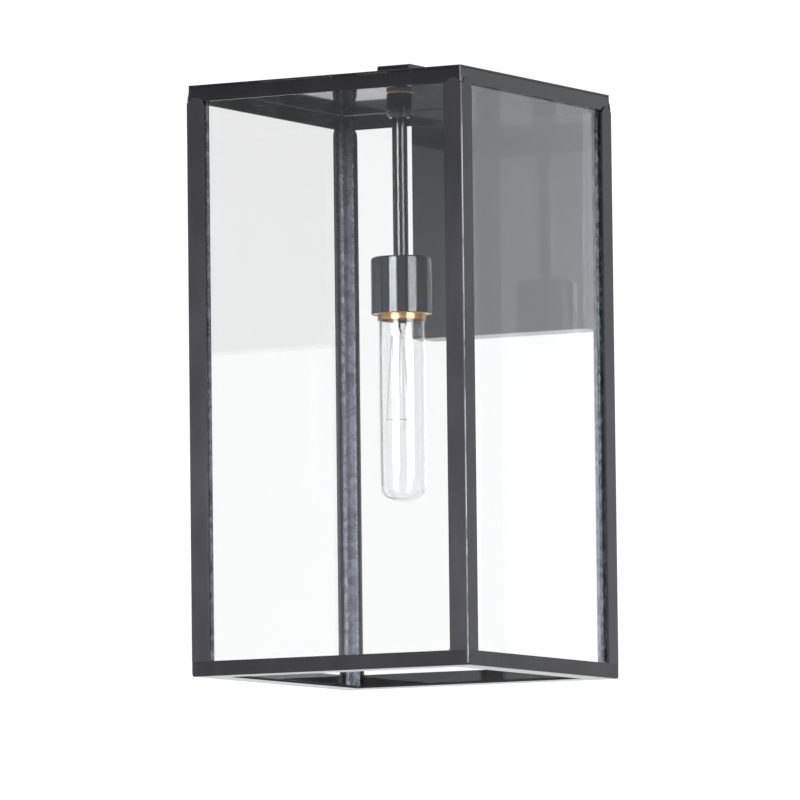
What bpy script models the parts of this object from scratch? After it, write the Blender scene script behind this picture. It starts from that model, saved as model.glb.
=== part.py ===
"""Outdoor wall lantern: a square steel cage with four glass panes, hung from a flat roof arm on a wall pan.

Metres, +Z up. X runs across the front, +Y points at the wall, and the origin is on the wall at the middle
of the pan.
Cage pieces are drawn from the cage axis and the underside of the cage, then placed by CAGE_ORIGIN.
"""

import math

import bmesh
import bpy

for leftover in list(bpy.data.objects):
    bpy.data.objects.remove(leftover)

# Clearance left between two pieces that rest on each other
GAP = 0.0003

# Wall pan
PAN_WIDTH = 0.1365
PAN_HEIGHT = 0.168
PAN_DEPTH = 0.026
PAN_SHEET = 0.0015
PAN_EDGE_RADIUS = 0.0022

# Cage
CAGE_WIDTH = 0.216
CAGE_HEIGHT = 0.4064
CAGE_STANDOFF = 0.031
PAN_ABOVE_ROOF = 0.0096
POST_LEG = 0.0142
ANGLE_THICKNESS = 0.0018
ANGLE_CORNER_RADIUS = 0.001
CORNER_WELD_RADIUS = 0.0012
POST_ARCH_START = 0.390
POST_ARCH_PEAK = 0.398
POST_ARCH_CORNER = 0.3945
POST_ARCH_PEAK_AT = 0.0062
POST_ARCH_FLAT = 0.0021
RAIL_INSET = 0.001
ROOF_SHEET = 0.0012
TOP_RAIL_BOTTOM = 0.3948
BOTTOM_RAIL_HEIGHT = 0.0103
BOTTOM_RAIL_FLANGE = 0.019

# Glazing
PANE_THICKNESS = 0.003
BEAD_THICKNESS = 0.0025

# Roof arm
ARM_WIDTH = 0.025
ARM_HEIGHT = 0.017
ARM_SHEET = 0.0015
ARM_FRONT = -0.0095
ARM_END_TOP = 0.412
ARM_END_BOTTOM = 0.398
ARM_HOLE_HEIGHT = 0.405
ARM_SCREW_OFFSET = 0.0082

# Stem and cup, as heights above the underside of the cage
STEM_RADIUS = 0.0053
STEM_BORE = 0.0041
STEM_BOTTOM = 0.283
STEM_TOP = 0.412
THREAD_CLEARANCE = STEM_RADIUS + GAP
CUP_RADIUS = 0.021
CUP_BOTTOM = 0.2508
CUP_TOP = 0.2903
CUP_SHEET = 0.001
NUT_ACROSS_FLATS = 0.014

# Lamp
BULB_RADIUS = 0.016
BULB_TIP = 0.1215
BULB_DOME = 0.0098
BULB_SHOULDER = 0.2475
BULB_WALL = 0.0006
NECK_RADIUS = 0.0115
THREAD_PITCH = 0.00363
FILAMENT_TOP = 0.236
FILAMENT_BOTTOM = 0.177

# Wiring
WIRE_RADIUS = 0.0009
WIRE_OFFSET = 0.0011

ROUND = 32

HALF = CAGE_WIDTH / 2
CAGE_Y = -(PAN_DEPTH + CAGE_STANDOFF + HALF)
CAGE_BASE = PAN_HEIGHT / 2 - PAN_ABOVE_ROOF - CAGE_HEIGHT
CAGE_ORIGIN = (0.0, CAGE_Y, CAGE_BASE)
WALL_ORIGIN = (0.0, 0.0, 0.0)
ROOF_UNDERSIDE = CAGE_HEIGHT - ROOF_SHEET
RAIL_FACE = HALF - RAIL_INSET
PANE_FACE = RAIL_FACE - ANGLE_THICKNESS - GAP
BEAD_FACE = PANE_FACE - PANE_THICKNESS - GAP
PAN_HOLE_Z = CAGE_BASE + ARM_HOLE_HEIGHT

SIDES = ("front", "right", "rear", "left")
CORNERS = ("front_left", "front_right", "rear_right", "rear_left")


def solid(name, points, faces, where=WALL_ORIGIN, turn=(0.0, 0.0, 0.0)):
    """A mesh object from points and faces, facing out."""
    shape = bmesh.new()
    corners = [shape.verts.new(point) for point in points]
    for face in faces:
        shape.faces.new([corners[index] for index in face])
    bmesh.ops.recalc_face_normals(shape, faces=shape.faces)
    mesh = bpy.data.meshes.new(name)
    shape.to_mesh(mesh)
    shape.free()
    made = bpy.data.objects.new(name, mesh)
    made.location = where
    made.rotation_euler = turn
    bpy.context.scene.collection.objects.link(made)
    return made


def loft(name, rings, where=WALL_ORIGIN, turn=(0.0, 0.0, 0.0), looped=False):
    """A skin over equal rings of points, capped at both ends, or joined last to first when looped."""
    count = len(rings[0])
    points = [point for ring in rings for point in ring]
    faces = []
    for index in range(len(rings) if looped else len(rings) - 1):
        here = index * count
        there = (index + 1) % len(rings) * count
        for step in range(count):
            after = (step + 1) % count
            faces.append((here + step, here + after, there + after, there + step))
    if not looped:
        faces.append(tuple(range(count)))
        faces.append(tuple(range(len(points) - count, len(points))))
    return solid(name, points, faces, where, turn)


def circle(radius, height, count=ROUND):
    steps = [2 * math.pi * index / count for index in range(count)]
    return [(radius * math.cos(step), radius * math.sin(step), height) for step in steps]


def turned(name, profile, where=WALL_ORIGIN, turn=(0.0, 0.0, 0.0), looped=True, count=ROUND):
    """A turned piece from (radius, height) pairs: a tube when looped, or a solid with flat ends."""
    rings = [circle(radius, height, count) for radius, height in profile]
    return loft(name, rings, where, turn, looped)


def block(name, low, high, where=WALL_ORIGIN):
    rings = []
    for z in (low[2], high[2]):
        near = [(low[0], low[1], z), (high[0], low[1], z)]
        rings.append(near + [(high[0], high[1], z), (low[0], high[1], z)])
    return loft(name, rings, where)


def prism(name, outline, low, high, axis, where=WALL_ORIGIN, turn=(0.0, 0.0, 0.0)):
    """An outline extruded from low to high along x, y or z."""
    rings = []
    for level in (low, high):
        if axis == "x":
            rings.append([(level, a, b) for a, b in outline])
        elif axis == "y":
            rings.append([(a, level, b) for a, b in outline])
        else:
            rings.append([(a, b, level) for a, b in outline])
    return loft(name, rings, where, turn)


def combine(made, tool, operation="DIFFERENCE"):
    """Cuts the tool from the piece, or joins it on, and clears the tool away."""
    modifier = made.modifiers.new(operation.lower(), "BOOLEAN")
    modifier.operation = operation
    modifier.solver = "EXACT"
    modifier.object = tool
    bpy.context.view_layer.update()
    graph = bpy.context.evaluated_depsgraph_get()
    result = bpy.data.meshes.new_from_object(made.evaluated_get(graph))
    result.name = made.name
    made.modifiers.clear()
    made.data = result
    bpy.data.objects.remove(tool)
    return made


def rod(name, radius, low, high, where, turn=(0.0, 0.0, 0.0), count=24):
    return turned(name, [(radius, low), (radius, high)], where, turn, looped=False, count=count)


def wire(name, points, radius, where=CAGE_ORIGIN, sides=1):
    """A round wire along a path."""
    curve = bpy.data.curves.new(name, "CURVE")
    curve.dimensions = "3D"
    curve.bevel_depth = radius
    curve.bevel_resolution = sides
    curve.use_fill_caps = True
    path = curve.splines.new("POLY")
    path.points.add(len(points) - 1)
    for knot, point in zip(path.points, points):
        knot.co = (*point, 1.0)
    made = bpy.data.objects.new(name, curve)
    made.location = where
    bpy.context.scene.collection.objects.link(made)
    return made


def rounded_outline(half_width, half_height, radius, steps=4):
    """A rectangle about the origin with rounded corners, as (x, z) pairs."""
    outline = []
    for quarter, (sx, sz) in enumerate(((1, 1), (-1, 1), (-1, -1), (1, -1))):
        for step in range(steps + 1):
            angle = math.pi / 2 * (quarter + step / steps)
            x = sx * (half_width - radius) + radius * math.cos(angle)
            z = sz * (half_height - radius) + radius * math.sin(angle)
            outline.append((x, z))
    return outline


def mitred_rail(name, profile, quarter):
    """One side of a square ring, from (distance in from the cage face, height) pairs.

    The ends are mitred, and their outer edge is cut back to leave room for the rounded corner weld.
    """
    outer = min(inward for inward, height in profile)
    rings = []
    for end in (-1, 1):
        ring = []
        for inward, height in profile:
            cut = max(inward + GAP, outer + CORNER_WELD_RADIUS)
            ring.append((end * (HALF - cut), inward - HALF, height))
        rings.append(ring)
    return loft(name, rings, CAGE_ORIGIN, (0.0, 0.0, math.pi / 2 * quarter))


def arch_height(across):
    """Height of the ground end of a post leg, at a distance across it from the corner."""
    if across < POST_ARCH_FLAT:
        return POST_ARCH_CORNER
    if across < POST_ARCH_PEAK_AT:
        slope = (POST_ARCH_PEAK_AT - across) / (POST_ARCH_PEAK_AT - POST_ARCH_FLAT)
        return POST_ARCH_PEAK - (POST_ARCH_PEAK - POST_ARCH_CORNER) * slope**2
    slope = (across - POST_ARCH_PEAK_AT) / (POST_LEG - POST_ARCH_PEAK_AT)
    return POST_ARCH_START + (POST_ARCH_PEAK - POST_ARCH_START) * math.sqrt(max(0.0, 1 - slope**2))


def corner_post(name, quarter):
    """An angle post with both legs ground to an arch, lapping over the top rails as a thin tongue."""
    radius = ANGLE_CORNER_RADIUS
    inner = ANGLE_THICKNESS - HALF
    outline = [(POST_LEG - HALF, -HALF), (POST_LEG - HALF, inner), (inner, inner)]
    outline += [(inner, POST_LEG - HALF), (-HALF, POST_LEG - HALF)]
    for step in range(5):
        angle = math.pi / 2 * step / 4
        x = radius - HALF - radius * math.cos(angle)
        y = radius - HALF - radius * math.sin(angle)
        outline.append((x, y))
    turn = (0.0, 0.0, math.pi / 2 * quarter)
    foot = BOTTOM_RAIL_HEIGHT + GAP
    post = prism(name, outline, foot, POST_ARCH_PEAK + 0.001, "z", CAGE_ORIGIN, turn)
    above = POST_ARCH_PEAK + 0.003
    steps = (0.0, 0.0021, 0.0032, 0.0046, 0.0062, 0.008, 0.0097, 0.0113, 0.0127, 0.0137, POST_LEG)
    arch = [(-HALF - 0.001, above), (-HALF - 0.001, arch_height(0.0))]
    arch += [(across - HALF, arch_height(across)) for across in steps]
    arch += [(POST_LEG - HALF + 0.003, POST_ARCH_START), (POST_LEG - HALF + 0.003, above)]
    near = -HALF - 0.002
    far = inner + 0.0002
    combine(post, prism("arch_cut_front", arch, near, far, "y", CAGE_ORIGIN, turn))
    combine(post, prism("arch_cut_side", arch, near, far, "x", CAGE_ORIGIN, turn))
    clear = -RAIL_FACE - GAP
    pocket = [(clear, clear), (clear + 0.03, clear), (clear + 0.03, clear + 0.03), (clear, clear + 0.03)]
    combine(post, prism("rail_pocket", pocket, TOP_RAIL_BOTTOM - GAP, above, "z", CAGE_ORIGIN, turn))
    return post


def pane(name, quarter, half_width):
    low = (-half_width, -PANE_FACE, ANGLE_THICKNESS + GAP)
    high = (half_width, PANE_THICKNESS - PANE_FACE, ROOF_UNDERSIDE - GAP)
    made = block(name, low, high, CAGE_ORIGIN)
    made.rotation_euler.z = math.pi / 2 * quarter
    return made


def glazing_bead(name, quarter, half_width, side):
    """A sealing bead down one edge of a pane, on the inside, flush with the opening of the cage side."""
    front = -BEAD_FACE
    back = BEAD_THICKNESS - BEAD_FACE
    opening = HALF - POST_LEG
    soft = 0.0008
    outline = [(side * half_width, front), (side * half_width, back), (side * (opening + soft), back)]
    outline += [(side * (opening + soft * 0.3), back - soft * 0.3), (side * opening, back - soft)]
    outline.append((side * opening, front))
    turn = (0.0, 0.0, math.pi / 2 * quarter)
    return prism(name, outline, ANGLE_THICKNESS + GAP, ROOF_UNDERSIDE - 2 * GAP, "z", CAGE_ORIGIN, turn)


def threaded_tube(name, height_low, height_high, radius, swing, thickness, where, inside=False):
    """A thin rolled shell whose wall follows one screw thread."""
    columns = 30
    rows = 4 * round((height_high - height_low) / THREAD_PITCH)
    ripple = []
    plain = []
    for row in range(rows + 1):
        height = height_low + (height_high - height_low) * row / rows
        wave = []
        for column in range(columns):
            turns = column / columns
            angle = 2 * math.pi * turns
            here = radius + swing * math.cos(2 * math.pi * (height / THREAD_PITCH - turns))
            wave.append((here * math.cos(angle), here * math.sin(angle), height))
        ripple.append(wave)
    edge = radius + swing + thickness if inside else radius - swing - thickness
    for height in (height_high, height_low):
        plain.append(circle(edge, height, columns))
    return loft(name, ripple + plain, where, looped=True)


def hex_nut(name, low, high, bore, where):
    radius = NUT_ACROSS_FLATS / math.sqrt(3)
    profile = [(radius, low), (radius, high)]
    nut = turned(name, profile, where, looped=False, count=6)
    return combine(nut, rod("nut_bore", bore, low - 0.002, high + 0.002, where))


def screw(name, where, turn, shank_radius, shank, head_radius, head):
    """A pan-head screw along its own z axis: the head underside at 0, the shank going down."""
    profile = [(shank_radius * 0.7, -shank), (shank_radius, -shank + 0.0006), (shank_radius, 0.0)]
    profile += [(head_radius, 0.0), (head_radius, head * 0.45), (head_radius * 0.8, head * 0.85)]
    profile += [(head_radius * 0.45, head)]
    made = turned(name, profile, where, turn, looped=False, count=20)
    long = head_radius * 0.62
    short = head_radius * 0.16
    for x, y in ((long, short), (short, long)):
        slot = block("slot_cut", (-x, -y, head * 0.45), (x, y, head * 2), where)
        slot.rotation_euler = turn
        combine(made, slot)
    return made


TOWARD_WALL = (-math.pi / 2, 0.0, 0.0)
TOWARD_RIGHT = (0.0, math.pi / 2, 0.0)
TOWARD_LEFT = (0.0, -math.pi / 2, 0.0)

# Cage: posts, rails, roof
for quarter, corner in enumerate(CORNERS):
    corner_post("post_" + corner, quarter)

top_profile = [
    (RAIL_INSET, TOP_RAIL_BOTTOM),
    (RAIL_INSET + ANGLE_THICKNESS, TOP_RAIL_BOTTOM),
    (RAIL_INSET + ANGLE_THICKNESS, ROOF_UNDERSIDE - GAP),
    (RAIL_INSET, ROOF_UNDERSIDE - GAP),
]
bottom_profile = [
    (0.0, BOTTOM_RAIL_HEIGHT),
    (0.0, 0.0011),
    (0.0003, 0.0003),
    (0.0011, 0.0),
    (BOTTOM_RAIL_FLANGE, 0.0),
    (BOTTOM_RAIL_FLANGE, ANGLE_THICKNESS),
    (ANGLE_THICKNESS, ANGLE_THICKNESS),
    (ANGLE_THICKNESS, BOTTOM_RAIL_HEIGHT),
]
for quarter, side in enumerate(SIDES):
    mitred_rail("top_rail_" + side, top_profile, quarter)
    mitred_rail("bottom_rail_" + side, bottom_profile, quarter)

roof_outline = rounded_outline(RAIL_FACE, RAIL_FACE, 0.001, 3)
roof = prism(
    "roof_panel", roof_outline, ROOF_UNDERSIDE, CAGE_HEIGHT, "z", CAGE_ORIGIN
)
combine(roof, rod("stem_hole", THREAD_CLEARANCE, ROOF_UNDERSIDE - 0.01, CAGE_HEIGHT + 0.01, CAGE_ORIGIN))

# Glass and its sealing beads
for quarter, side in enumerate(SIDES):
    between = quarter % 2
    pane("pane_" + side, quarter, BEAD_FACE if between else PANE_FACE)
    bead_end = BEAD_FACE - BEAD_THICKNESS - GAP if between else BEAD_FACE
    glazing_bead("glazing_bead_" + side + "_a", quarter, bead_end, -1)
    glazing_bead("glazing_bead_" + side + "_b", quarter, bead_end, 1)

# Roof arm: an inverted channel that steps down behind the roof to its end wall
arm_base = CAGE_HEIGHT + GAP
arm_top = CAGE_HEIGHT + ARM_HEIGHT
arm_rear = HALF + CAGE_STANDOFF - GAP
arm_outline = [
    (ARM_FRONT, arm_base),
    (ARM_FRONT, arm_top - 0.0015),
    (ARM_FRONT + 0.0005, arm_top - 0.0005),
    (ARM_FRONT + 0.0015, arm_top),
    (HALF, arm_top),
    (arm_rear, ARM_END_TOP),
    (arm_rear, ARM_END_BOTTOM),
    (HALF - 0.0002, ARM_END_BOTTOM),
    (HALF - 0.0002, arm_base),
]
hollow_outline = [
    (ARM_FRONT + ARM_SHEET, ARM_END_BOTTOM - 0.01),
    (ARM_FRONT + ARM_SHEET, arm_top - ARM_SHEET),
    (HALF - 0.0002, arm_top - ARM_SHEET),
    (arm_rear - ARM_SHEET, ARM_END_TOP - 0.0011),
    (arm_rear - ARM_SHEET, ARM_END_BOTTOM - 0.01),
]
arm = prism("roof_arm", arm_outline, -ARM_WIDTH / 2, ARM_WIDTH / 2, "x", CAGE_ORIGIN)
arm_inside = ARM_WIDTH / 2 - ARM_SHEET
combine(arm, prism("arm_hollow", hollow_outline, -arm_inside, arm_inside, "x", CAGE_ORIGIN))

# Wall pan, open at the back
rings = []
inner_radius = PAN_EDGE_RADIUS - PAN_SHEET
for step in range(4):
    angle = math.pi / 2 * step / 3
    inset = PAN_SHEET + inner_radius * (1 - math.sin(angle))
    level = PAN_SHEET - PAN_DEPTH + inner_radius * (1 - math.cos(angle))
    rings.append((inset, level))
rings += [(PAN_SHEET, 0.0), (0.0, 0.0)]
for step in range(5):
    angle = math.pi / 2 * step / 4
    inset = PAN_EDGE_RADIUS * (1 - math.cos(angle))
    level = -PAN_DEPTH + PAN_EDGE_RADIUS * (1 - math.sin(angle))
    rings.append((inset, level))
skins = []
for inset, level in rings:
    radius = max(PAN_EDGE_RADIUS + 0.001 - inset, 0.0008)
    outline = rounded_outline(PAN_WIDTH / 2 - inset, PAN_HEIGHT / 2 - inset, radius)
    skins.append([(x, level, z) for x, z in outline])
pan = loft("wall_pan", skins)

wire_hole = 0.0042
combine(pan, rod("pan_wire_hole", wire_hole, -0.03, 0.0, (0.0, 0.0, PAN_HOLE_Z), TOWARD_WALL))
combine(arm, rod("arm_wire_hole", wire_hole, -0.03, 0.0, (0.0, 0.0, PAN_HOLE_Z), TOWARD_WALL))
for name, offset in (("arm_screw_left", -ARM_SCREW_OFFSET), ("arm_screw_right", ARM_SCREW_OFFSET)):
    place = (offset, 0.0, PAN_HOLE_Z)
    combine(pan, rod("pan_screw_hole", 0.0018, -0.03, 0.0, place, TOWARD_WALL))
    combine(arm, rod("arm_screw_hole", 0.0018, -0.03, 0.0, place, TOWARD_WALL))
    seat = (offset, PAN_SHEET - PAN_DEPTH + GAP, PAN_HOLE_Z)
    screw(name, seat, TOWARD_WALL, 0.0015, 0.0055, 0.0028, 0.0019)

grommet_profile = [
    (0.0028, -0.0042),
    (0.0039, -0.0042),
    (0.0039, 0.0),
    (0.0052, 0.0),
    (0.0052, 0.0008),
    (0.0047, 0.0012),
    (0.0028, 0.0012),
]
grommet_place = (0.0, PAN_SHEET - PAN_DEPTH + GAP, PAN_HOLE_Z)
turned("wire_grommet", grommet_profile, grommet_place, TOWARD_WALL, count=24)

# Wall bracket inside the pan, with a turned tab at each end
tab_face = PAN_WIDTH / 2 - PAN_SHEET - GAP
strip = 0.002
tab_depth = 0.014
bracket_outline = [
    (-tab_face, 0.0),
    (tab_face, 0.0),
    (tab_face, -tab_depth),
    (tab_face - strip, -tab_depth),
    (tab_face - strip, -strip),
    (strip - tab_face, -strip),
    (strip - tab_face, -tab_depth),
    (-tab_face, -tab_depth),
]
bracket = prism("mounting_bracket", bracket_outline, -0.010, 0.010, "z")
combine(bracket, rod("centre_hole", 0.0055, -0.01, 0.01, WALL_ORIGIN, TOWARD_WALL))
for side in (-1, 1):
    slot_low = (side * 0.045 - 0.008, -0.01, -0.0024)
    slot_high = (side * 0.045 + 0.008, 0.01, 0.0024)
    combine(bracket, block("box_slot", slot_low, slot_high))
combine(bracket, rod("ground_hole", 0.0022, -0.01, 0.01, (-0.024, 0.0, 0.0), TOWARD_WALL))
screw("ground_screw", (-0.024, -strip - GAP, 0.0), (math.pi / 2, 0.0, 0.0), 0.0019, 0.002, 0.004, 0.0024)

screw_y = -0.009
for name, side, turn in (("side_screw_left", -1, TOWARD_LEFT), ("side_screw_right", 1, TOWARD_RIGHT)):
    place = (side * (PAN_WIDTH / 2 + GAP), screw_y, 0.0)
    combine(pan, rod("pan_side_hole", 0.0022, -0.004, 0.004, place, turn))
    combine(bracket, rod("tab_hole", 0.0022, -0.012, 0.004, place, turn))
    screw(name, place, turn, 0.0019, 0.009, 0.0036, 0.0022)

# Stem, its roof fittings and the cup
turned(
    "stem_tube",
    [(STEM_BORE, STEM_BOTTOM), (STEM_RADIUS, STEM_BOTTOM), (STEM_RADIUS, STEM_TOP), (STEM_BORE, STEM_TOP)],
    CAGE_ORIGIN,
)
collar_top = ROOF_UNDERSIDE - 0.0012
collar_profile = [
    (THREAD_CLEARANCE, 0.3915),
    (0.0084, 0.3915),
    (0.0088, 0.3919),
    (0.0088, collar_top - 0.0004),
    (0.0084, collar_top),
    (THREAD_CLEARANCE, collar_top),
]
turned("stem_collar", collar_profile, CAGE_ORIGIN)
washer_top = ROOF_UNDERSIDE - GAP
washer_profile = [
    (THREAD_CLEARANCE, collar_top + GAP),
    (0.0091, collar_top + GAP),
    (0.0093, collar_top + 0.0006),
    (0.0091, washer_top),
    (THREAD_CLEARANCE, washer_top),
]
turned("collar_washer", washer_profile, CAGE_ORIGIN)
ring_profile = [
    (THREAD_CLEARANCE, 0.3872),
    (0.0070, 0.3872),
    (0.0075, 0.3876),
    (0.0078, 0.3884),
    (0.0086, 0.3890),
    (0.0090, 0.3897),
    (0.0090, 0.3904),
    (0.0086, 0.3911),
    (THREAD_CLEARANCE, 0.3911),
]
turned("collar_ring", ring_profile, CAGE_ORIGIN)
hex_nut("roof_nut", CAGE_HEIGHT + GAP, CAGE_HEIGHT + 0.0046, THREAD_CLEARANCE, CAGE_ORIGIN)
hex_nut("cup_nut", 0.2855, 0.2890, THREAD_CLEARANCE, CAGE_ORIGIN)

inner = CUP_RADIUS - CUP_SHEET
cup_profile = [
    (inner, CUP_BOTTOM + 0.0003),
    (inner + 0.0003, CUP_BOTTOM),
    (CUP_RADIUS - 0.0003, CUP_BOTTOM),
    (CUP_RADIUS, CUP_BOTTOM + 0.0003),
    (CUP_RADIUS, CUP_TOP - 0.0018),
    (CUP_RADIUS - 0.0004, CUP_TOP - 0.0008),
    (CUP_RADIUS - 0.0010, CUP_TOP - 0.0002),
    (CUP_RADIUS - 0.0019, CUP_TOP),
    (THREAD_CLEARANCE, CUP_TOP),
    (THREAD_CLEARANCE, CUP_TOP - CUP_SHEET),
    (inner - 0.0012, CUP_TOP - CUP_SHEET),
    (inner - 0.0003, CUP_TOP - CUP_SHEET - 0.0004),
    (inner, CUP_TOP - CUP_SHEET - 0.0013),
]
turned("socket_cup", cup_profile, CAGE_ORIGIN, count=48)

# Brass ring that closes the cup's mouth, with a skirt down round the bulb's shoulder
skirt = BULB_RADIUS + 0.0004
closing_profile = [
    (skirt, 0.2467),
    (skirt + 0.0004, 0.2467),
    (skirt + 0.0004, 0.2508),
    (skirt + 0.0008, 0.2512),
    (inner - GAP, 0.2512),
    (inner - GAP, 0.2517),
    (skirt + 0.0004, 0.2517),
    (skirt, 0.2513),
]
turned("closing_ring", closing_profile, CAGE_ORIGIN, count=40)

# Lampholder inside the cup
body_profile = [
    (0.0145, 0.2590),
    (0.0165, 0.2590),
    (0.0170, 0.2596),
    (0.0170, 0.2837),
    (0.0155, 0.2852),
    (THREAD_CLEARANCE, 0.2852),
    (THREAD_CLEARANCE, 0.2825),
    (0.0145, 0.2825),
]
turned("socket_body", body_profile, CAGE_ORIGIN)
threaded_tube("screw_shell", 0.2596, 0.2806, 0.01355, 0.00025, 0.0003, CAGE_ORIGIN, inside=True)
block("centre_contact", (-0.003, -0.0025, 0.2818), (0.009, 0.0025, 0.2822), CAGE_ORIGIN)

# Bulb
glass_outer = [(0.0008, BULB_TIP)]
dome_steps = (20, 40, 58, 74)
dome_top = BULB_TIP + BULB_DOME
for degrees in dome_steps:
    angle = math.radians(degrees)
    glass_outer.append((BULB_RADIUS * math.sin(angle), dome_top - BULB_DOME * math.cos(angle)))
glass_outer.append((BULB_RADIUS, dome_top))
glass_outer.append((BULB_RADIUS, BULB_SHOULDER))
shoulder = ((0.01575, 0.2500), (0.0150, 0.2523), (0.0138, 0.2543), (0.0125, 0.2556), (NECK_RADIUS, 0.2566))
glass_outer += list(shoulder)
glass_outer.append((NECK_RADIUS, 0.2650))
glass_inner = []
for radius, height in reversed(glass_outer[1:]):
    lift = BULB_WALL if height < dome_top else 0.0
    shrink = BULB_WALL * min(1.0, radius / BULB_RADIUS + 0.1)
    glass_inner.append((radius - shrink, height + lift))
glass_inner.append((0.0008, BULB_TIP + BULB_WALL))
turned("bulb_glass", glass_outer + glass_inner, CAGE_ORIGIN, looped=False, count=40)

threaded_tube("bulb_cap", 0.2573, 0.2755, 0.01260, 0.0004, 0.0003, CAGE_ORIGIN)
insulator_profile = [(0.0122, 0.2758), (0.0119, 0.2765), (0.0105, 0.2775)]
insulator_profile += [(0.0062, 0.2795), (0.0052, 0.2800)]
turned("bulb_insulator", insulator_profile, CAGE_ORIGIN, looped=False)
contact_profile = [(0.0048, 0.2803), (0.0048, 0.2808), (0.0036, 0.2813), (0.0014, 0.2815)]
turned("bulb_tip_contact", contact_profile, CAGE_ORIGIN, looped=False, count=24)

mount_profile = [
    (0.0082, 0.2630),
    (0.0070, 0.2600),
    (0.0046, 0.2560),
    (0.0034, 0.2500),
    (0.0026, 0.2420),
    (0.0016, 0.2390),
    (0.0009, 0.2378),
    (0.0009, 0.1745),
    (0.0013, 0.1736),
    (0.0013, 0.1726),
    (0.0006, 0.1720),
]
turned("filament_mount", mount_profile, CAGE_ORIGIN, looped=False, count=16)


def spider(name, height, reach, first_angle):
    """A ring on the glass rod with three wire arms that hold the filament turns."""
    low = height - 0.0003
    high = height + 0.0003
    ring = [(0.0012, low), (0.0019, low), (0.0019, high), (0.0012, high)]
    made = turned(name, ring, CAGE_ORIGIN, count=16)
    centre = (0.0, CAGE_Y, CAGE_BASE + height)
    for index in range(3):
        angle = first_angle + 2 * math.pi * index / 3
        arm_turn = (0.0, math.pi / 2, angle)
        combine(made, rod("spider_arm", 0.00018, 0.0016, reach, centre, arm_turn, 8), "UNION")
    return made


upper_radius = 0.0080
lower_radius = 0.0112
spider("filament_support_upper", FILAMENT_TOP - 0.0012, upper_radius - 0.0007, math.radians(60))
spider("filament_support_lower", FILAMENT_BOTTOM + 0.0012, lower_radius - 0.0007, math.radians(90))

strands = []
hairpin = 0.0006


def hairpin_turn(radius, angle, height):
    """The two corners of a filament turn, in the order the wire meets them."""
    across = hairpin / radius
    corners = []
    for here in (angle + across, angle - across):
        corners.append((radius * math.cos(here), radius * math.sin(here), height))
    return corners


# From the right lead, down and up between the spiders five times, to the left lead
for index in range(5):
    angle = math.radians(-60 * index)
    turn_points = hairpin_turn(upper_radius, angle, FILAMENT_TOP)
    strands += turn_points if index else turn_points[1:]
    strands += hairpin_turn(lower_radius, angle - math.radians(30), FILAMENT_BOTTOM)
strands.append(hairpin_turn(upper_radius, math.radians(60), FILAMENT_TOP)[0])
wire("filament", strands, 0.00022)

lead_start = 0.2535
right_lead = [(0.0049, 0.0, lead_start), (0.0038, 0.0, 0.2440)]
right_lead += [(0.0046, 0.0, 0.2385), (0.0066, 0.0, 0.2366)]
left_lead = [(-0.0049, 0.0, lead_start), (-0.0038, 0.0, 0.2440)]
left_lead += [(-0.0010, 0.0045, 0.2385), (0.0033, 0.0057, 0.2366)]
wire("lead_wire_right", right_lead, 0.00022)
wire("lead_wire_left", left_lead, 0.00022)

# Conductors: up the stem, back along the arm and through the grommet into the pan
run_height = 0.4165
for name, side in (("line_wire", 1), ("neutral_wire", -1)):
    x = side * WIRE_OFFSET
    path = [(x, 0.0, 0.2835), (x, 0.0, 0.4125)]
    for step in range(1, 5):
        angle = math.pi / 2 * step / 4
        path.append((x, 0.004 * (1 - math.cos(angle)), 0.4125 + 0.004 * math.sin(angle)))
    path += [(x, 0.104, run_height), (x, 0.110, run_height - 0.0012), (x, 0.127, ARM_HOLE_HEIGHT + 0.0020)]
    path += [(x, 0.131, ARM_HOLE_HEIGHT + 0.0004), (x, 0.134, ARM_HOLE_HEIGHT)]
    path.append((x, -CAGE_Y - 0.009, ARM_HOLE_HEIGHT))
    wire(name, path, WIRE_RADIUS, sides=2)

# Finishes: colour, roughness, metallic, transmission
FINISHES = {
    "bronze_paint": ((0.055, 0.052, 0.060), 0.30, 0.75, 0.0),
    "stem_paint": ((0.050, 0.055, 0.066), 0.16, 0.90, 0.0),
    "pane_glass": ((0.93, 0.96, 0.95), 0.02, 0.0, 1.0),
    "bulb_glass": ((0.97, 0.97, 0.97), 0.01, 0.0, 1.0),
    "silicone": ((0.72, 0.75, 0.78), 0.35, 0.0, 0.4),
    "zinc_plate": ((0.55, 0.56, 0.58), 0.35, 1.0, 0.0),
    "brass": ((0.78, 0.56, 0.28), 0.28, 1.0, 0.0),
    "phenolic": ((0.035, 0.033, 0.032), 0.45, 0.0, 0.0),
    "tungsten": ((0.32, 0.30, 0.28), 0.40, 1.0, 0.0),
    "wire_black": ((0.02, 0.02, 0.02), 0.50, 0.0, 0.0),
    "wire_white": ((0.75, 0.74, 0.70), 0.50, 0.0, 0.0),
    "rubber": ((0.03, 0.03, 0.03), 0.70, 0.0, 0.0),
    "ground_green": ((0.05, 0.25, 0.09), 0.35, 0.6, 0.0),
}
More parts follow.
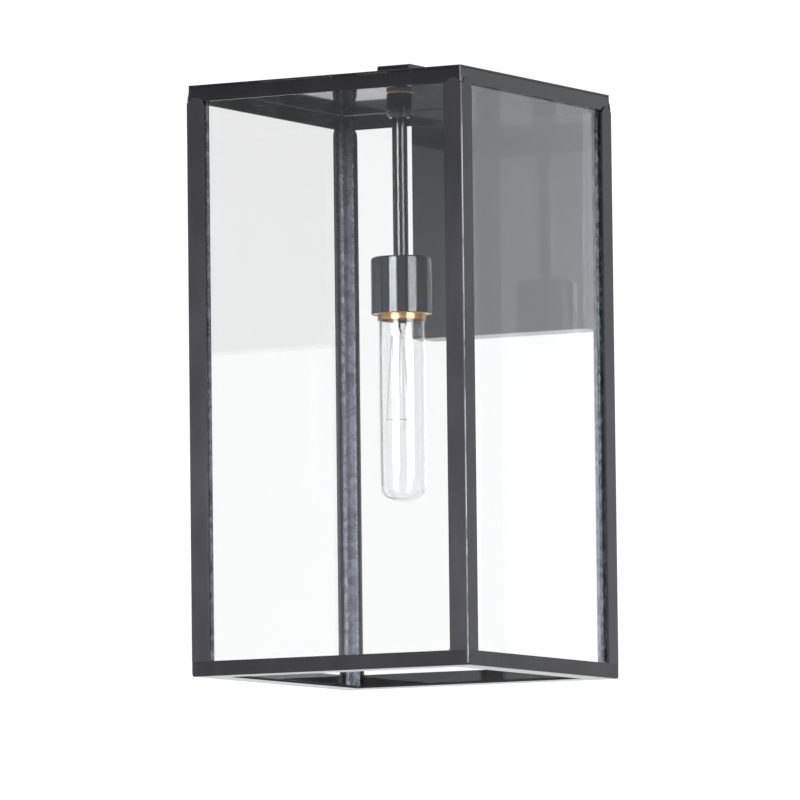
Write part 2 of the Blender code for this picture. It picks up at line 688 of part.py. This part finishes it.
# The finish of each piece, by the start of its name
WORN_BY = {
    "bronze_paint": (
        "post_", "top_rail_", "bottom_rail_", "roof_panel", "roof_arm", "wall_pan",
        "stem_collar", "side_screw_",
    ),
    "stem_paint": ("stem_tube", "socket_cup", "collar_ring"),
    "pane_glass": ("pane_",),
    "bulb_glass": ("bulb_glass", "filament_mount"),
    "silicone": ("glazing_bead_",),
    "zinc_plate": ("mounting_bracket", "roof_nut", "cup_nut", "arm_screw_"),
    "brass": (
        "bulb_cap", "bulb_tip_contact", "screw_shell", "centre_contact", "closing_ring", "collar_washer",
    ),
    "phenolic": ("socket_body", "bulb_insulator"),
    "tungsten": ("filament", "lead_wire_"),
    "wire_black": ("line_wire",),
    "wire_white": ("neutral_wire",),
    "rubber": ("wire_grommet",),
    "ground_green": ("ground_screw",),
}
LAMP_PIECES = ("bulb_", "filament", "lead_wire_")

made_finishes = {}
for name, (colour, roughness, metallic, transmission) in FINISHES.items():
    material = bpy.data.materials.new(name)
    material.use_nodes = True
    shader = material.node_tree.nodes["Principled BSDF"]
    shader.inputs["Base Color"].default_value = (*colour, 1.0)
    shader.inputs["Roughness"].default_value = roughness
    shader.inputs["Metallic"].default_value = metallic
    shader.inputs["Transmission Weight"].default_value = transmission
    material.diffuse_color = (*colour, 1.0)
    made_finishes[name] = material

lantern_root = bpy.data.objects.new("lantern", None)
lamp_root = bpy.data.objects.new("lamp", None)
lamp_root.location = CAGE_ORIGIN
for empty in (lantern_root, lamp_root):
    bpy.context.scene.collection.objects.link(empty)
lamp_root.parent = lantern_root
bpy.context.view_layer.update()


def finish_for(name):
    for finish, starts in WORN_BY.items():
        if name.startswith(starts):
            return made_finishes[finish]
    raise ValueError(name)


for piece in bpy.context.scene.collection.objects:
    if piece.type == "EMPTY":
        continue
    piece.data.materials.clear()
    piece.data.materials.append(finish_for(piece.name))
    if piece.type == "MESH":
        piece.data.shade_smooth()
        piece.data.set_sharp_from_angle(angle=math.radians(35))
    holder = lamp_root if piece.name.startswith(LAMP_PIECES) else lantern_root
    piece.parent = holder
    piece.matrix_parent_inverse = holder.matrix_world.inverted()
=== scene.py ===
"""Looks of the outdoor wall lantern: finishes, weld and edge detail, studio light, floor and camera."""

import math

import bmesh
import bpy
from mathutils import Matrix, Vector


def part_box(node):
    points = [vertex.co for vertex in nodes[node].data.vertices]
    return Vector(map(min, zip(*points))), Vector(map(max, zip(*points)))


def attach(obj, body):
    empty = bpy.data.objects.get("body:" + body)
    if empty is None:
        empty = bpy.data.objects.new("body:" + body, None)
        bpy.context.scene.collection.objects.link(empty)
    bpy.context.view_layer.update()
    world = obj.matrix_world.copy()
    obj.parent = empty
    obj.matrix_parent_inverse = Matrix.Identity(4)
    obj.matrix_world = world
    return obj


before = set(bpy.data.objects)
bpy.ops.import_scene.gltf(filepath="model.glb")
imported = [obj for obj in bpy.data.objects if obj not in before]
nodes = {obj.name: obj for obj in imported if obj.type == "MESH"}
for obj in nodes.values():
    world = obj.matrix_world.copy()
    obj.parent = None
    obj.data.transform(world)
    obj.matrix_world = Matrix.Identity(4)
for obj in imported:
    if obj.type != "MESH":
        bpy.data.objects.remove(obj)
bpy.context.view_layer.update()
scene = bpy.context.scene

CORNERS = ("front_left", "front_right", "rear_right", "rear_left")

# Places on the cage, all read from the CAD
rail_low, rail_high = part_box("bottom_rail_front")
post_low, post_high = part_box("post_front_left")
roof_low, roof_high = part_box("roof_panel")
top_rail_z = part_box("top_rail_front")[0].z
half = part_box("bottom_rail_right")[1].x
axis_y = rail_low.y + half
base_z = rail_low.z
rail_top = rail_high.z
leg = post_high.x - post_low.x
rail_face = -roof_low.x

# Sizes of the cage's details that its boxes don't give, in metres
SHEET = 0.0018
WELD_RADIUS = 0.0012
POST_CORNER_RADIUS = 0.001
POST_CORNER_HEIGHT = 0.3945
FILLET_SIZE = 0.0022
COLUMN_GAP = 0.00005
UNDER_FLUSH = 0.00003

# The band behind each upright edge where a highlight is painted, from its start to its full strength
PAINTED_HIGHLIGHT_START = 0.0009
PAINTED_HIGHLIGHT_FULL = 0.0005
# Height above the base where the painted shade toward the roof starts
PAINTED_SHADE_START = 0.16

# How the surfaces are refined
MERGE_DISTANCE = 0.000002
FLAT_ANGLE = math.radians(0.4)
BEVEL_ANGLE = math.radians(32)
CRISP_ANGLE = math.radians(36)
BEVEL_SEGMENTS = 2


# ---------------------------------------------------------------- node helpers


class Shader:
    """A material, or the world, built up one node at a time."""

    def __init__(self, owner):
        owner.use_nodes = True
        self.tree = owner.node_tree
        self.tree.nodes.clear()
        self.x = 0

    def add(self, kind, **settings):
        node = self.tree.nodes.new(kind)
        self.x += 180
        node.location = (self.x, 0)
        for key, value in settings.items():
            setattr(node, key, value)
        return node

    def join(self, source, target):
        self.tree.links.new(source, target)

    def feed(self, value, socket):
        if isinstance(value, bpy.types.NodeSocket):
            self.join(value, socket)
        else:
            socket.default_value = value

    def math(self, operation, a, b=0.0):
        node = self.add("ShaderNodeMath", operation=operation)
        self.feed(a, node.inputs[0])
        self.feed(b, node.inputs[1])
        return node.outputs[0]

    def remap(self, value, low, high, to_low=0.0, to_high=1.0):
        node = self.add("ShaderNodeMapRange", interpolation_type="SMOOTHSTEP")
        self.feed(value, node.inputs["Value"])
        self.feed(low, node.inputs["From Min"])
        self.feed(high, node.inputs["From Max"])
        self.feed(to_low, node.inputs["To Min"])
        self.feed(to_high, node.inputs["To Max"])
        return node.outputs["Result"]

    def blend(self, share, a, b):
        node = self.add("ShaderNodeMix", data_type="RGBA")
        self.feed(share, node.inputs["Factor"])
        self.feed((*a, 1.0) if isinstance(a, tuple) else a, node.inputs[6])
        self.feed((*b, 1.0) if isinstance(b, tuple) else b, node.inputs[7])
        return node.outputs[2]

    def split(self, vector):
        node = self.add("ShaderNodeSeparateXYZ")
        self.join(vector, node.inputs[0])
        return node

    def place(self):
        if not hasattr(self, "coordinates"):
            self.coordinates = self.add("ShaderNodeTexCoord")
        return self.coordinates.outputs["Object"]

    def noise(self, scale, detail=3.0, roughness=0.55, stretch=None):
        where = self.place()
        if stretch:
            mapping = self.add("ShaderNodeMapping")
            self.join(where, mapping.inputs["Vector"])
            mapping.inputs["Scale"].default_value = stretch
            where = mapping.outputs["Vector"]
        node = self.add("ShaderNodeTexNoise")
        self.join(where, node.inputs["Vector"])
        node.inputs["Scale"].default_value = scale
        node.inputs["Detail"].default_value = detail
        node.inputs["Roughness"].default_value = roughness
        return node.outputs["Fac"]

    def bump(self, height, distance, strength):
        node = self.add("ShaderNodeBump")
        node.inputs["Distance"].default_value = distance
        node.inputs["Strength"].default_value = strength
        self.join(height, node.inputs["Height"])
        return node.outputs["Normal"]

    def principled(self, **values):
        node = self.add("ShaderNodeBsdfPrincipled")
        for key, value in values.items():
            socket = node.inputs[key.replace("_", " ")]
            if isinstance(value, tuple) and len(value) == 3:
                value = (*value, 1.0)
            self.feed(value, socket)
        return node

    def output(self, surface):
        node = self.add("ShaderNodeOutputMaterial")
        self.join(surface, node.inputs["Surface"])


def new_material(name):
    material = bpy.data.materials.new(name)
    return material, Shader(material)


# ---------------------------------------------------------------- finishes


def painted_metal(name, dark, light, roughness, peel, ior=1.26, corner=0.0):
    """Dark baked paint with cloudy tone, faint orange peel and pale specks.

    Shade is painted in: the tone darkens toward the roof. Where corner gives the distance of the cage's
    faces from its axis, a highlight is painted along its upright corners as a lighter, partly metallic
    band.
    """
    material, s = new_material(name)
    cloud = s.noise(14.0, 4.0, 0.6)
    streak = s.noise(40.0, 3.0, 0.6, (1.0, 1.0, 0.12))
    tone = s.blend(s.remap(cloud, 0.35, 0.70), dark, light)
    tone = s.blend(s.remap(streak, 0.45, 0.75, 0.0, 0.45), tone, tuple(c * 1.5 for c in light))
    speck = s.noise(900.0, 2.0, 0.5)
    tone = s.blend(s.remap(speck, 0.68, 0.76, 0.0, 0.20), tone, tuple(c * 3.0 for c in light))
    split = s.split(s.place())
    # Painted shade: the tone darkens from the shade start up to the roof
    painted_shade = s.remap(split.outputs["Z"], base_z + PAINTED_SHADE_START, roof_high.z, 0.0, 0.54)
    tone = s.blend(painted_shade, tone, tuple(c * 0.35 for c in dark))
    metal = 0.0
    # Painted highlight along the upright corners: lighter, partly metallic paint, broken up by noise
    if corner:
        out_x = s.math("ABSOLUTE", split.outputs["X"])
        out_y = s.math("ABSOLUTE", s.math("SUBTRACT", split.outputs["Y"], axis_y))
        reach = s.math("MINIMUM", out_x, out_y)
        highlight_breakup = s.remap(s.noise(90.0, 3.0, 0.6, (1.0, 1.0, 0.4)), 0.35, 0.60, 0.15, 0.85)
        painted_highlight = s.math("MULTIPLY", s.remap(reach, corner - PAINTED_HIGHLIGHT_START, corner - PAINTED_HIGHLIGHT_FULL), highlight_breakup)
        metal = s.math("MULTIPLY", painted_highlight, 0.60)
        tone = s.blend(painted_highlight, tone, (0.21, 0.21, 0.22))
    rough = s.remap(s.noise(60.0, 3.0), 0.3, 0.7, roughness * 0.85, roughness * 1.2)
    skin = s.bump(s.noise(420.0, 1.0, 0.4), 0.00002, peel)
    shader = s.principled(Base_Color=tone, Roughness=rough, Metallic=metal, IOR=ior, Normal=skin)
    s.output(shader.outputs[0])
    return material


def see_through(name, tint, ior, ripple_scale, ripple):
    """Clear glass with a trace of waviness. Light reaches what stands behind it."""
    material, s = new_material(name)
    skin = s.bump(s.noise(ripple_scale, 2.0), 0.00004, ripple)
    shader = s.principled(
        Base_Color=tint, Roughness=0.0, Metallic=0.0, IOR=ior, Transmission_Weight=1.0, Normal=skin
    )
    path = s.add("ShaderNodeLightPath")
    clear = s.add("ShaderNodeBsdfTransparent")
    clear.inputs["Color"].default_value = (*(c * 0.96 for c in tint), 1.0)
    mixed = s.add("ShaderNodeMixShader")
    s.join(path.outputs["Is Shadow Ray"], mixed.inputs[0])
    s.join(shader.outputs[0], mixed.inputs[1])
    s.join(clear.outputs[0], mixed.inputs[2])
    s.output(mixed.outputs[0])
    return material


def bare_metal(name, dark, light, roughness, grain, stretch=(1.0, 1.0, 1.0)):
    """Plated or rolled metal with fine drawing lines and slightly uneven tarnish."""
    material, s = new_material(name)
    tone = s.blend(s.remap(s.noise(45.0, 4.0), 0.35, 0.7), dark, light)
    lines = s.noise(700.0, 2.0, 0.6, stretch)
    rough = s.remap(lines, 0.3, 0.7, roughness * 0.8, roughness * 1.3)
    skin = s.bump(lines, 0.00002, grain)
    shader = s.principled(Base_Color=tone, Roughness=rough, Metallic=1.0, Normal=skin)
    s.output(shader.outputs[0])
    return material


def moulded(name, dark, light, roughness, grain):
    """Moulded plastic or rubber with a fine grain."""
    material, s = new_material(name)
    tone = s.blend(s.remap(s.noise(120.0, 4.0), 0.35, 0.7), dark, light)
    rough = s.remap(s.noise(300.0, 2.0), 0.3, 0.7, roughness * 0.85, roughness * 1.15)
    skin = s.bump(s.noise(1500.0, 2.0), 0.00003, grain)
    shader = s.principled(Base_Color=tone, Roughness=rough, Metallic=0.0, IOR=1.5, Normal=skin)
    s.output(shader.outputs[0])
    return material


def sealant():
    """Clear silicone: milky, soft skin, with faint tooling ripples."""
    material, s = new_material("clear_silicone")
    cloud = s.noise(160.0, 4.0)
    tone = s.blend(s.remap(cloud, 0.3, 0.7), (0.16, 0.175, 0.20), (0.40, 0.42, 0.48))
    skin = s.bump(s.noise(220.0, 3.0), 0.0002, 0.5)
    shader = s.principled(
        Base_Color=tone, Roughness=0.18, Metallic=0.0, IOR=1.41, Transmission_Weight=0.6, Normal=skin
    )
    s.output(shader.outputs[0])
    return material


def cup_metal():
    """Gloss gunmetal: a dark body tone with faint turning lines."""
    material, s = new_material("gunmetal_cup")
    cloud = s.remap(s.noise(30.0, 3.0), 0.35, 0.7)
    tone = s.blend(cloud, (0.0095, 0.0105, 0.0125), (0.0150, 0.0160, 0.0185))
    lines = s.noise(160.0, 2.0, 0.5, (1.0, 1.0, 14.0))
    rough = s.remap(lines, 0.3, 0.7, 0.045, 0.085)
    skin = s.bump(s.noise(420.0, 1.0, 0.4), 0.00001, 0.2)
    shader = s.principled(Base_Color=tone, Roughness=rough, Metallic=0.0, IOR=1.62, Normal=skin)
    s.output(shader.outputs[0])
    return material


paint = painted_metal(
    "bronze_paint", (0.0268, 0.0248, 0.0276), (0.0358, 0.0332, 0.0366), 0.12, 0.30, corner=half
)
# Painted shade: a darker copy of the cage paint for the bottom rails
shaded_base_paint = painted_metal(
    "bronze_paint_base_shaded", (0.0165, 0.0150, 0.0168), (0.0222, 0.0205, 0.0225), 0.12, 0.30, corner=half
)
# Painted shade: a darker copy of the cage paint for the top rails, roof, roof arm and top welds; its lower
# roughness is a glossier finish
shaded_roof_paint = painted_metal(
    "bronze_paint_roof_shaded", (0.0108, 0.0100, 0.0120), (0.0154, 0.0142, 0.0165), 0.05, 0.15, 1.38, rail_face
)
pan_paint = painted_metal(
    "bronze_paint_pan", (0.0150, 0.0165, 0.0190), (0.0210, 0.0225, 0.0255), 0.14, 0.40, 1.38
)
stem_paint = painted_metal(
    "stem_gloss", (0.0060, 0.0066, 0.0086), (0.0090, 0.0098, 0.0125), 0.06, 0.10, 1.55
)
cup_paint = cup_metal()
pane_glass = see_through("pane_glass", (0.957, 0.959, 0.954), 1.52, 6.0, 0.10)
bulb_glass = see_through("bulb_glass", (0.965, 0.968, 0.970), 1.47, 30.0, 0.05)
mount_glass = see_through("mount_glass", (0.965, 0.968, 0.970), 1.10, 30.0, 0.05)
silicone = sealant()
brass = bare_metal("rolled_brass", (0.52, 0.28, 0.09), (0.72, 0.45, 0.17), 0.22, 0.3, (1.0, 1.0, 6.0))
zinc = bare_metal("zinc_plate", (0.42, 0.43, 0.46), (0.62, 0.63, 0.65), 0.34, 0.4, (0.2, 1.0, 1.0))
tungsten = bare_metal("drawn_tungsten", (0.40, 0.37, 0.34), (0.58, 0.54, 0.50), 0.35, 0.2)
phenolic = moulded("black_phenolic", (0.020, 0.018, 0.017), (0.040, 0.036, 0.034), 0.42, 0.5)
black_sleeve = moulded("black_wire_sleeve", (0.012, 0.012, 0.012), (0.024, 0.024, 0.024), 0.5, 0.3)
white_sleeve = moulded("white_wire_sleeve", (0.66, 0.64, 0.58), (0.76, 0.74, 0.69), 0.5, 0.3)
rubber = moulded("black_rubber", (0.016, 0.016, 0.016), (0.030, 0.029, 0.028), 0.7, 0.8)
green_screw = bare_metal("green_chromate", (0.03, 0.20, 0.06), (0.08, 0.34, 0.12), 0.32, 0.3)

# Each finish, and the starts of the names of the nodes that wear it. The first that fits counts
WORN_BY = (
    (paint, ("post_",)),
    (shaded_base_paint, ("bottom_rail_",)),
    (shaded_roof_paint, ("top_rail_", "roof_panel", "roof_arm")),
    (pan_paint, ("wall_pan", "side_screw_")),
    (stem_paint, ("stem_tube", "stem_collar", "collar_ring")),
    (cup_paint, ("socket_cup",)),
    (pane_glass, ("pane_",)),
    (bulb_glass, ("bulb_glass",)),
    (mount_glass, ("filament_mount",)),
    (silicone, ("glazing_bead_",)),
    (zinc, ("mounting_bracket", "roof_nut", "cup_nut", "arm_screw_")),
    (brass, ("bulb_cap", "bulb_tip_contact", "screw_shell", "centre_contact")),
    (brass, ("closing_ring", "collar_washer")),
    (phenolic, ("socket_body", "bulb_insulator")),
    (tungsten, ("filament", "lead_wire_")),
    (black_sleeve, ("line_wire",)),
    (white_sleeve, ("neutral_wire",)),
    (rubber, ("wire_grommet",)),
    (green_screw, ("ground_screw",)),
)


# ---------------------------------------------------------------- CAD surfaces


def crisp_corners(piece, even=True):
    """Shading that breaks at real corners and stays flat over the flat faces beside a rounded edge."""
    crisp = piece.modifiers.new("crisp_corners", "EDGE_SPLIT")
    crisp.split_angle = CRISP_ANGLE
    crisp.use_edge_sharp = False
    if even:
        flat = piece.modifiers.new("flat_shading", "WEIGHTED_NORMAL")
        flat.mode = "FACE_AREA"
        flat.weight = 80
        flat.keep_sharp = True


def soften(piece, width):
    """A rounded bevel along the sharp edges."""
    edge = piece.modifiers.new("soft_edges", "BEVEL")
    edge.width = width
    edge.segments = BEVEL_SEGMENTS
    edge.limit_method = "ANGLE"
    edge.angle_limit = BEVEL_ANGLE
    return edge


def refine(name, bevel=0.0, subdivide=0):
    """Smooth shading on a CAD node, with softened edges or a finer curved surface."""
    piece = nodes[name]
    mesh = piece.data
    if "custom_normal" in mesh.attributes:
        mesh.attributes.remove(mesh.attributes["custom_normal"])
    mesh.shade_smooth()
    weld = piece.modifiers.new("weld", "WELD")
    weld.merge_threshold = MERGE_DISTANCE
    flat = piece.modifiers.new("flat_faces", "DECIMATE")
    flat.decimate_type = "DISSOLVE"
    flat.angle_limit = FLAT_ANGLE
    if bevel:
        soften(piece, bevel).miter_outer = "MITER_ARC"
    if subdivide:
        finer = piece.modifiers.new("finer", "SUBSURF")
        finer.levels = subdivide
        finer.render_levels = subdivide
    crisp_corners(piece, even=not subdivide)


for name, piece in nodes.items():
    for finish, starts in WORN_BY:
        if name.startswith(starts):
            piece.data.materials.clear()
            piece.data.materials.append(finish)
            break

# Width of the softened edges, by the start of the node's name
EDGES = {
    "closing_ring": 0.00012,
    "collar_washer": 0.00012,
    "post_": 0.00030,
    "top_rail_": 0.00020,
    "bottom_rail_": 0.00022,
    "roof_panel": 0.00035,
    "roof_arm": 0.00040,
    "wall_pan": 0.00030,
    "side_screw_": 0.00020,
    "pane_": 0.00030,
    "glazing_bead_": 0.00045,
    "mounting_bracket": 0.00030,
    "roof_nut": 0.00030,
    "cup_nut": 0.00030,
    "arm_screw_": 0.00015,
    "ground_screw": 0.00018,
    "stem_tube": 0.00020,
    "stem_collar": 0.00025,
    "collar_ring": 0.00020,
    "socket_cup": 0.00018,
    "socket_body": 0.00025,
    "centre_contact": 0.00010,
    "wire_grommet": 0.00020,
    "screw_shell": 0.00008,
    "bulb_cap": 0.00008,
    "bulb_insulator": 0.00015,
    "bulb_tip_contact": 0.00015,
    "filament": 0.0,
    "lead_wire_": 0.0,
    "line_wire": 0.0,
    "neutral_wire": 0.0,
}
for name in nodes:
    if name == "bulb_glass":
        continue
    for start, width in EDGES.items():
        if name.startswith(start):
            refine(name, width)
            break
refine("bulb_glass", subdivide=1)


# ---------------------------------------------------------------- new pieces


def piece_from(name, points, faces, finish, bevel=0.00005):
    """A painted piece of the cage, from its points and faces."""
    shape = bmesh.new()
    corners = [shape.verts.new(point) for point in points]
    for face in faces:
        shape.faces.new([corners[index] for index in face])
    bmesh.ops.recalc_face_normals(shape, faces=shape.faces)
    mesh = bpy.data.meshes.new(name)
    shape.to_mesh(mesh)
    shape.free()
    mesh.shade_smooth()
    made = bpy.data.objects.new(name, mesh)
    scene.collection.objects.link(made)
    mesh.materials.append(finish)
    soften(made, bevel)
    crisp_corners(made)
    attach(made, "lantern")


def stacked(rings):
    """Points and faces of a skin over equal rings, capped at both ends."""
    count = len(rings[0])
    points = [point for ring in rings for point in ring]
    faces = []
    for index in range(len(rings) - 1):
        here = index * count
        for step in range(count):
            after = (step + 1) % count
            faces.append((here + step, here + after, here + count + after, here + count + step))
    faces.append(tuple(range(count)))
    faces.append(tuple(range(len(points) - count, len(points))))
    return points, faces


def on_corner(quarter, x, y, z):
    """A point drawn at the front left corner of the cage, turned to another corner."""
    turn = Matrix.Rotation(math.pi / 2 * quarter, 3, "Z")
    at = turn @ Vector((x, y, 0.0))
    return (at.x, at.y + axis_y, z)


def corner_column(name, quarter, levels, depth, finish):
    """The weld that closes a mitred corner, over (height, face) levels, with a rounded outer edge."""
    rings = []
    for level, face in levels:
        outline = []
        start = WELD_RADIUS - face
        for step in range(9):
            angle = math.pi / 2 * step / 8
            x = start - WELD_RADIUS * math.cos(angle)
            y = start - WELD_RADIUS * math.sin(angle)
            outline.append((x, y))
        inner = depth - half
        flat = start + 0.0007
        outline += [(flat, -face), (flat, inner), (inner, inner), (inner, flat), (-face, flat)]
        rings.append([on_corner(quarter, x, y, level) for x, y in outline])
    points, faces = stacked(rings)
    piece_from(name, points, faces, finish, bevel=0.00012)


def post_foot(name, quarter):
    """The weld line between a post and the bottom ring."""
    radius = POST_CORNER_RADIUS
    face = half - UNDER_FLUSH
    inner = SHEET - half - UNDER_FLUSH
    outline = [(leg - half, -face), (leg - half, inner), (inner, inner)]
    outline += [(inner, leg - half), (-face, leg - half)]
    for step in range(5):
        angle = math.pi / 2 * step / 4
        x = radius - face - radius * math.cos(angle)
        y = radius - face - radius * math.sin(angle)
        outline.append((x, y))
    rings = []
    for level in (rail_top - 0.0004, post_low.z + 0.0004):
        rings.append([on_corner(quarter, x, y, level) for x, y in outline])
    points, faces = stacked(rings)
    piece_from(name, points, faces, paint)


def flange_seam(name, quarter):
    """The mitre weld across the bottom flange, just under flush."""
    width = 0.0006
    low = base_z + 0.00008
    high = base_z + SHEET - 0.00004
    start = half - 0.0012
    end = half - 0.019
    outline = [(-start, width - start), (width - start, -start)]
    outline += [(width - end, -end), (-end, width - end)]
    rings = [[on_corner(quarter, x, y, level) for x, y in outline] for level in (low, high)]
    points, faces = stacked(rings)
    piece_from(name, points, faces, paint)


def opening_fillet(name, quarter, across):
    """A small concave weld fillet in the lower corner of an opening, between a post leg and a rail."""
    size = FILLET_SIZE
    steps = 6
    sunk = 0.0002
    outline = [(0.0, 0.0)]
    for step in range(steps + 1):
        angle = math.pi / 2 * step / steps
        outline.append((size - size * math.sin(angle), size - size * math.cos(angle)))
    rings = []
    front = -half + 0.0003
    back = -half + SHEET - 0.0001
    for depth in (front, back):
        ring = []
        for a, b in outline:
            x = leg - half - sunk + a
            z = rail_top + b - sunk
            if across:
                ring.append(on_corner(quarter, depth, x, z))
            else:
                ring.append(on_corner(quarter, x, depth, z))
        rings.append(ring)
    points, faces = stacked(rings)
    piece_from(name, points, faces, paint)


post_corner_top = base_z + POST_CORNER_HEIGHT
top_levels = [
    (top_rail_z + COLUMN_GAP, rail_face),
    (post_corner_top + 0.0006, rail_face + 0.0009),
    (post_corner_top + 0.0035, rail_face + 0.0006),
    (post_corner_top + 0.0068, rail_face + 0.0001),
    (roof_low.z, rail_face - 0.00002),
]
bottom_levels = [
    (base_z + 0.0009, half - 0.0006),
    (base_z + 0.0016, half - UNDER_FLUSH),
    (rail_top - COLUMN_GAP, half - UNDER_FLUSH),
]
for quarter, corner in enumerate(CORNERS):
    corner_column("weld_bottom_" + corner, quarter, bottom_levels, 0.0026, paint)
    corner_column("weld_top_" + corner, quarter, top_levels, 0.0036, shaded_roof_paint)
    post_foot("weld_foot_" + corner, quarter)
    flange_seam("weld_flange_" + corner, quarter)
    opening_fillet("fillet_front_" + corner, quarter, False)
    opening_fillet("fillet_side_" + corner, quarter, True)

# ---------------------------------------------------------------- floor, light, camera

FLOOR_HALF_SIZE = 60.0
FLOOR_DROP = 1.2
shape = bmesh.new()
bmesh.ops.create_grid(shape, x_segments=8, y_segments=8, size=FLOOR_HALF_SIZE)
floor_mesh = bpy.data.meshes.new("studio_floor")
shape.to_mesh(floor_mesh)
shape.free()
floor = bpy.data.objects.new("studio_floor", floor_mesh)
floor.location = (0.0, 0.0, base_z - FLOOR_DROP)
scene.collection.objects.link(floor)
floor_material, s = new_material("pale_floor")
floor_shader = s.principled(Base_Color=(0.49, 0.48, 0.465), Roughness=0.9, Specular_IOR_Level=0.1)
floor_shader.inputs["Emission Color"].default_value = (1.0, 0.99, 0.98, 1.0)
floor_shader.inputs["Emission Strength"].default_value = 0.20
s.output(floor_shader.outputs[0])
floor_mesh.materials.append(floor_material)

# The studio is a surround: a white sweep behind the lantern, two paler panels beside it, and two tall soft
# boxes in front
world = bpy.data.worlds.new("studio")
scene.world = world
s = Shader(world)
direction = s.add("ShaderNodeTexCoord").outputs["Generated"]
split = s.split(direction)
azimuth = s.math("ARCTAN2", split.outputs["X"], s.math("MULTIPLY", split.outputs["Y"], -1.0))
azimuth = s.math("DEGREES", azimuth)
height = s.math("DEGREES", s.math("ARCSINE", split.outputs["Z"]))


def window(middle, half_width, soft, low, high, soft_height):
    """1 inside a window of the surround, falling to 0 over its soft edges. Angles in degrees."""
    offset = s.math("SUBTRACT", azimuth, middle)
    offset = s.math("SUBTRACT", s.math("MODULO", s.math("ADD", offset, 540.0), 360.0), 180.0)
    across = s.remap(s.math("ABSOLUTE", offset), half_width - soft, half_width + soft, 1.0, 0.0)
    bottom = s.remap(height, low - soft_height, low + soft_height, 0.0, 1.0)
    top = s.remap(height, high - soft_height, high + soft_height, 1.0, 0.0)
    return s.math("MULTIPLY", across, s.math("MULTIPLY", bottom, top))


# Azimuth of the middle, half width, soft edge, lowest and highest elevation, their soft edge, brightness.
# The first two lights are pale panels, the last two are the soft boxes
BACKDROP = (196.0, 43.0, 5.0, -30.0, 34.0, 8.0, 0.89)
LIGHTS = (
    (-40.0, 20.0, 8.0, -30.0, 6.0, 3.0, 0.62),
    (146.0, 10.0, 5.0, -30.0, 34.0, 8.0, 0.72),
    (-3.0, 13.5, 1.6, -40.0, 52.0, 6.0, 14.0),
    (72.0, 16.0, 1.6, -40.0, 52.0, 6.0, 8.0),
)


def glow(windows, start):
    """Brightness of the surround: the windows added to a start."""
    total = start
    for *shape, brightness in windows:
        total = s.math("ADD", total, s.math("MULTIPLY", window(*shape), brightness))
    return total


light_glow = s.add("ShaderNodeBackground")
light_glow.inputs["Color"].default_value = (0.94, 0.99, 1.06, 1.0)
s.join(glow(LIGHTS, s.remap(height, 35.0, 75.0, 0.16, 1.1)), light_glow.inputs["Strength"])
sweep_glow = s.add("ShaderNodeBackground")
sweep_glow.inputs["Color"].default_value = (1.0, 0.995, 0.985, 1.0)
s.join(glow((BACKDROP,), s.remap(height, 35.0, 75.0, 0.06, 0.0)), sweep_glow.inputs["Strength"])
both = s.add("ShaderNodeAddShader")
s.join(light_glow.outputs[0], both.inputs[0])
s.join(sweep_glow.outputs[0], both.inputs[1])
world_output = s.add("ShaderNodeOutputWorld")
s.join(both.outputs[0], world_output.inputs["Surface"])

scene.cycles.caustics_refractive = False
scene.cycles.caustics_reflective = False
scene.cycles.max_bounces = 16
scene.cycles.transmission_bounces = 14
scene.cycles.transparent_max_bounces = 16
scene.view_settings.view_transform = "Standard"

# Camera: a long lens, a little below the lantern and to its right
AZIMUTH = math.radians(29.207)
ELEVATION = math.radians(-4.973)
ROLL = math.radians(-0.657)
DISTANCE = 6.556
LENS = 428.1
AIM_RIGHT = -0.002417
AIM_UP = -0.01139
cage_middle = Vector((0.0, axis_y, (base_z + roof_high.z) / 2))
back = Vector(
    (
        math.sin(AZIMUTH) * math.cos(ELEVATION),
        -math.cos(AZIMUTH) * math.cos(ELEVATION),
        math.sin(ELEVATION),
    )
)
right = Vector((math.cos(AZIMUTH), math.sin(AZIMUTH), 0.0))
up = back.cross(right)
place = cage_middle + right * AIM_RIGHT + up * AIM_UP + back * DISTANCE
x_axis = right * math.cos(ROLL) + up * math.sin(ROLL)
y_axis = up * math.cos(ROLL) - right * math.sin(ROLL)
camera_data = bpy.data.cameras.new("camera")
camera_data.lens = LENS
camera_data.sensor_width = 36.0
camera_data.clip_start = 0.1
camera_data.clip_end = 200.0
camera = bpy.data.objects.new("camera", camera_data)
turn = Matrix((x_axis, y_axis, back)).transposed().to_4x4()
camera.matrix_world = Matrix.Translation(place) @ turn
scene.collection.objects.link(camera)
scene.camera = camera
